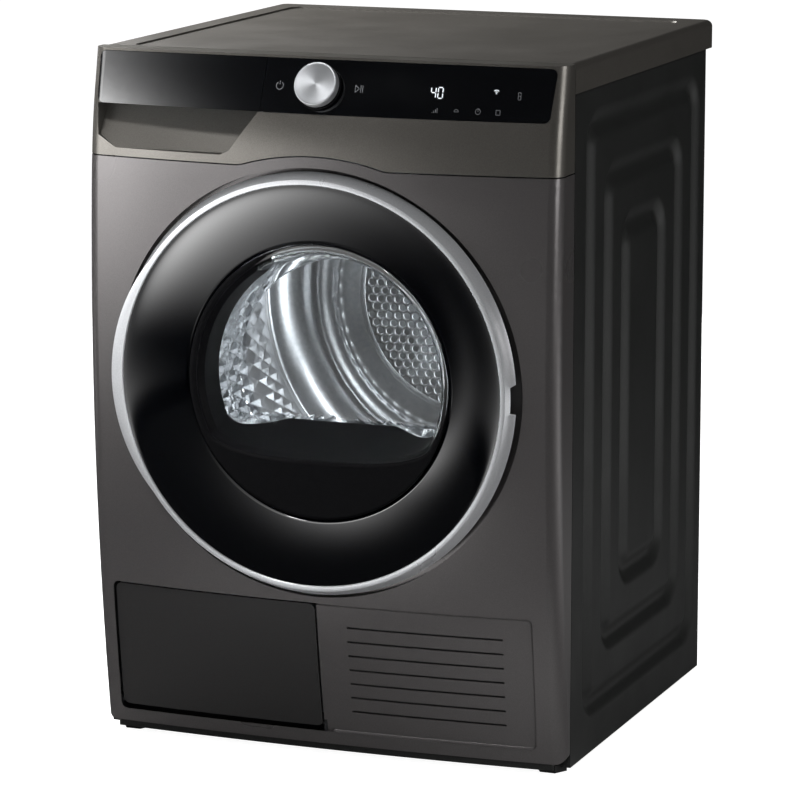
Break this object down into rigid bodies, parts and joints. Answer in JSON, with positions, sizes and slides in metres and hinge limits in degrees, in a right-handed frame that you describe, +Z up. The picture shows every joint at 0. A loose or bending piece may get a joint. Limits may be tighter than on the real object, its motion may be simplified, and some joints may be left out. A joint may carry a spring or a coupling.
{
  "type": "clothes dryer",
  "caption": "front-loading heat pump tumble dryer with a round window door, a water drawer, a control dial, a service flap and a louvred intake",
  "frame": {"origin": "on the floor under the centre of the bounding box", "axes": "+Z up, +X to the right seen from the front, +Y to the back, so the door faces -Y"},
  "size_m": [0.6, 0.64, 0.85],
  "materials": {
    "front_paint": "metallic dark grey enamel on steel sheet",
    "cover_plastic": "satin dark grey moulded plastic",
    "black_gloss": "piano black",
    "silver_plate": "satin plated plastic",
    "spun_metal": "spun face",
    "clear_bowl": "moulded clear bowl",
    "door_charcoal": "fine grained",
    "grey_plastic": "moulded grey plastic",
    "tank_plastic": "translucent moulded plastic",
    "drum_steel": "embossed stainless sheet",
    "zinc_steel": "galvanised sheet",
    "black_rubber": "matt",
    "foot_plastic": "hard black plastic",
    "felt": "pressed wool felt",
    "coil_fins": "mill finish",
    "compressor_paint": "black stove enamel",
    "pipe_brass": "drawn copper alloy",
    "board_green": "coated circuit board",
    "lamp_glass": "frosted lens",
    "inlet_plastic": "black moulding"
  },
  "bodies": {
    "cabinet": {"front_panel": "front_paint", "intake_grille": "cover_plastic", "control_panel": "cover_plastic", "control_glass": "black_gloss", "control_board": "board_green", "tank_chute": "grey_plastic", "side_panel_left": "front_paint", "side_panel_right": "front_paint", "base_tray": "grey_plastic", "top_cover": "cover_plastic", "front_bulkhead": "zinc_steel", "door_mouth": "door_charcoal", "lint_filter": "grey_plastic", "rear_bulkhead": "zinc_steel", "drum_seals": "felt", "roller_axles": "zinc_steel", "drive_belt": "black_rubber", "drive_motor": "zinc_steel", "blower_housing": "grey_plastic", "rear_duct_cover": "zinc_steel", "back_panel": "zinc_steel", "case_screws": "zinc_steel", "mains_inlet": "inlet_plastic", "exchanger_housing": "grey_plastic", "evaporator": "coil_fins", "condenser": "coil_fins", "exchanger_cover": "grey_plastic", "compressor": "compressor_paint", "compressor_mounts": "black_rubber", "refrigerant_pipes": "pipe_brass", "condensate_pump": "grey_plastic", "drain_hose": "black_rubber", "drum_lamp": "lamp_glass", "hinge_bracket": "zinc_steel"},
    "door": {"door_ring": "silver_plate", "door_bezel": "black_gloss", "door_window": "clear_bowl", "door_plate": "door_charcoal", "door_liner": "door_charcoal", "door_seal": "black_rubber", "door_hinge": "zinc_steel", "door_latch": "door_charcoal"},
    "drum": {"drum_shell": "drum_steel", "drum_back": "drum_steel", "drum_lifters": "grey_plastic"},
    "rotor": {"motor_rotor": "zinc_steel", "fan_impeller": "grey_plastic"},
    "idler": {"idler_wheel": "grey_plastic"},
    "roller_left": {"drum_roller_left": "black_rubber"},
    "roller_right": {"drum_roller_right": "black_rubber"},
    "dial": {"dial_knob": "spun_metal"},
    "tank": {"tank_front": "black_gloss", "tank_body": "tank_plastic"},
    "flap": {"service_flap": "cover_plastic"},
    "latch_left": {"cover_latch_left": "grey_plastic"},
    "latch_right": {"cover_latch_right": "grey_plastic"},
    "foot_fl": {"foot_front_left": "foot_plastic"},
    "foot_fr": {"foot_front_right": "foot_plastic"},
    "foot_bl": {"foot_back_left": "foot_plastic"},
    "foot_br": {"foot_back_right": "foot_plastic"}
  },
  "joints": [
    {"name": "door_swing", "type": "hinge", "parent": "cabinet", "child": "door", "pos_m": [0.238, -0.306, 0.465], "axis": [0, 0, 1], "range_deg": [0, 135]},
    {"name": "drum_spin", "type": "hinge", "parent": "cabinet", "child": "drum", "pos_m": [0, 0, 0.485], "axis": [0, 1, 0], "continuous": true},
    {"name": "rotor_spin", "type": "hinge", "parent": "cabinet", "child": "rotor", "pos_m": [0.205, 0, 0.1], "axis": [0, 1, 0], "continuous": true},
    {"name": "idler_spin", "type": "hinge", "parent": "cabinet", "child": "idler", "pos_m": [0.09099, 0, 0.1225], "axis": [0, 1, 0], "continuous": true},
    {"name": "roller_left_spin", "type": "hinge", "parent": "cabinet", "child": "roller_left", "pos_m": [-0.17339, 0, 0.23737], "axis": [0, 1, 0], "continuous": true},
    {"name": "roller_right_spin", "type": "hinge", "parent": "cabinet", "child": "roller_right", "pos_m": [0.17339, 0, 0.23737], "axis": [0, 1, 0], "continuous": true},
    {"name": "dial_turn", "type": "hinge", "parent": "cabinet", "child": "dial", "pos_m": [0, -0.28101, 0.816], "axis": [0, -0.9147, 0.4042], "continuous": true},
    {"name": "tank_slide", "type": "slide", "parent": "cabinet", "child": "tank", "axis": [0, -1, 0], "range_m": [0, 0.4]},
    {"name": "flap_fold", "type": "hinge", "parent": "cabinet", "child": "flap", "pos_m": [-0.277, -0.25035, 0.042], "axis": [0.9992, -0.0403, 0], "range_deg": [0, 85]},
    {"name": "latch_left_turn", "type": "hinge", "parent": "cabinet", "child": "latch_left", "pos_m": [-0.261, 0, 0.1155], "axis": [0, 1, 0], "range_deg": [0, 90]},
    {"name": "latch_right_turn", "type": "hinge", "parent": "cabinet", "child": "latch_right", "pos_m": [-0.022, 0, 0.1155], "axis": [0, 1, 0], "range_deg": [0, 90]},
    {"name": "foot_fl_turn", "type": "hinge", "parent": "cabinet", "child": "foot_fl", "pos_m": [-0.272, -0.218, 0.012], "axis": [0, 0, 1], "continuous": true},
    {"name": "foot_fr_turn", "type": "hinge", "parent": "cabinet", "child": "foot_fr", "pos_m": [0.272, -0.218, 0.012], "axis": [0, 0, 1], "continuous": true},
    {"name": "foot_bl_turn", "type": "hinge", "parent": "cabinet", "child": "foot_bl", "pos_m": [-0.272, 0.237, 0.012], "axis": [0, 0, 1], "continuous": true},
    {"name": "foot_br_turn", "type": "hinge", "parent": "cabinet", "child": "foot_br", "pos_m": [0.272, 0.237, 0.012], "axis": [0, 0, 1], "continuous": true}
  ],
  "couplings": [
    {"joint": "rotor_spin", "follows": "drum_spin", "ratio": 30.889},
    {"joint": "idler_spin", "follows": "drum_spin", "ratio": -19.857},
    {"joint": "roller_left_spin", "follows": "drum_spin", "ratio": -11.583},
    {"joint": "roller_right_spin", "follows": "drum_spin", "ratio": -11.583}
  ]
}
